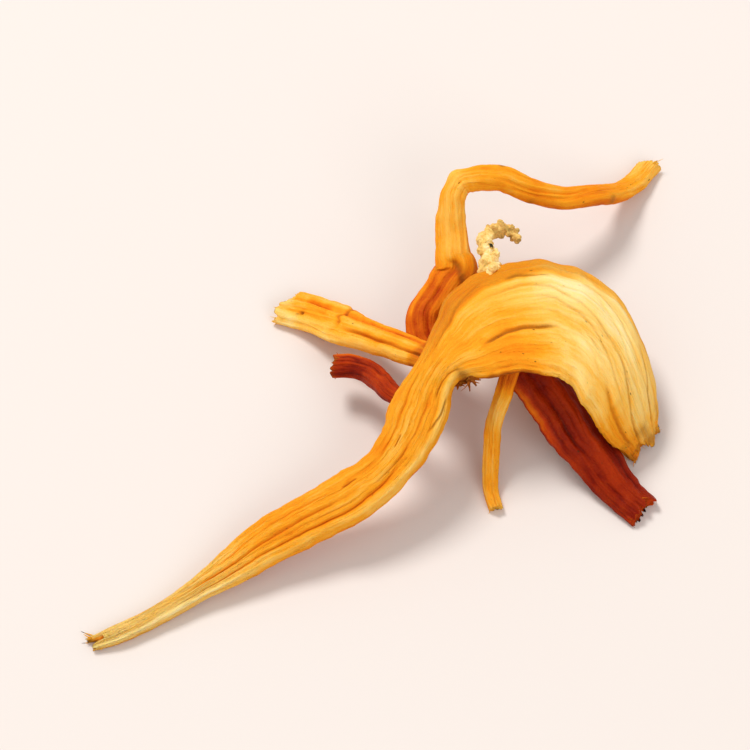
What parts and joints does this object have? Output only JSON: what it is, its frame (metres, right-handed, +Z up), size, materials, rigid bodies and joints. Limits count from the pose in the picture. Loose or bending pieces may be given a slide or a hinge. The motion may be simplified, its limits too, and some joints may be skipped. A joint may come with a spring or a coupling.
{
  "type": "dried cordyceps",
  "caption": "Clump of dried cordyceps fruiting bodies: a pale hooked foot with a long frayed tail strand and thinner wrinkled orange strands, lying on its back.",
  "frame": {"origin": "on the surface that the clump lies on, under the middle of its outline", "axes": "+Z up from the surface, +X from the frayed tail towards the hood along the clump's longest extent, +Y towards the crooked strand's tip"},
  "size_m": [0.0338, 0.033, 0.0074],
  "materials": {
    "hood": "dry satin, pale yellow to orange, finely streaked",
    "tail": "dry satin, orange, wrinkled lengthwise",
    "crooked": "dry satin, orange, dark at its root",
    "left": "dry satin, orange with a pale broken end",
    "dark": "dry satin, dark red",
    "leg": "dry satin, dark red",
    "thin": "dry satin, orange",
    "tuft": "matt, pale cream, crumbly"
  },
  "bodies": {
    "root": {"hooded_foot": "hood", "tail_strand": "tail", "crooked_strand": "crooked", "left_broken_strand": "left", "dark_broken_strand": "dark", "red_leg_strand": "leg", "thin_strand": "thin", "mycelium_tuft": "tuft"}
  },
  "joints": []
}
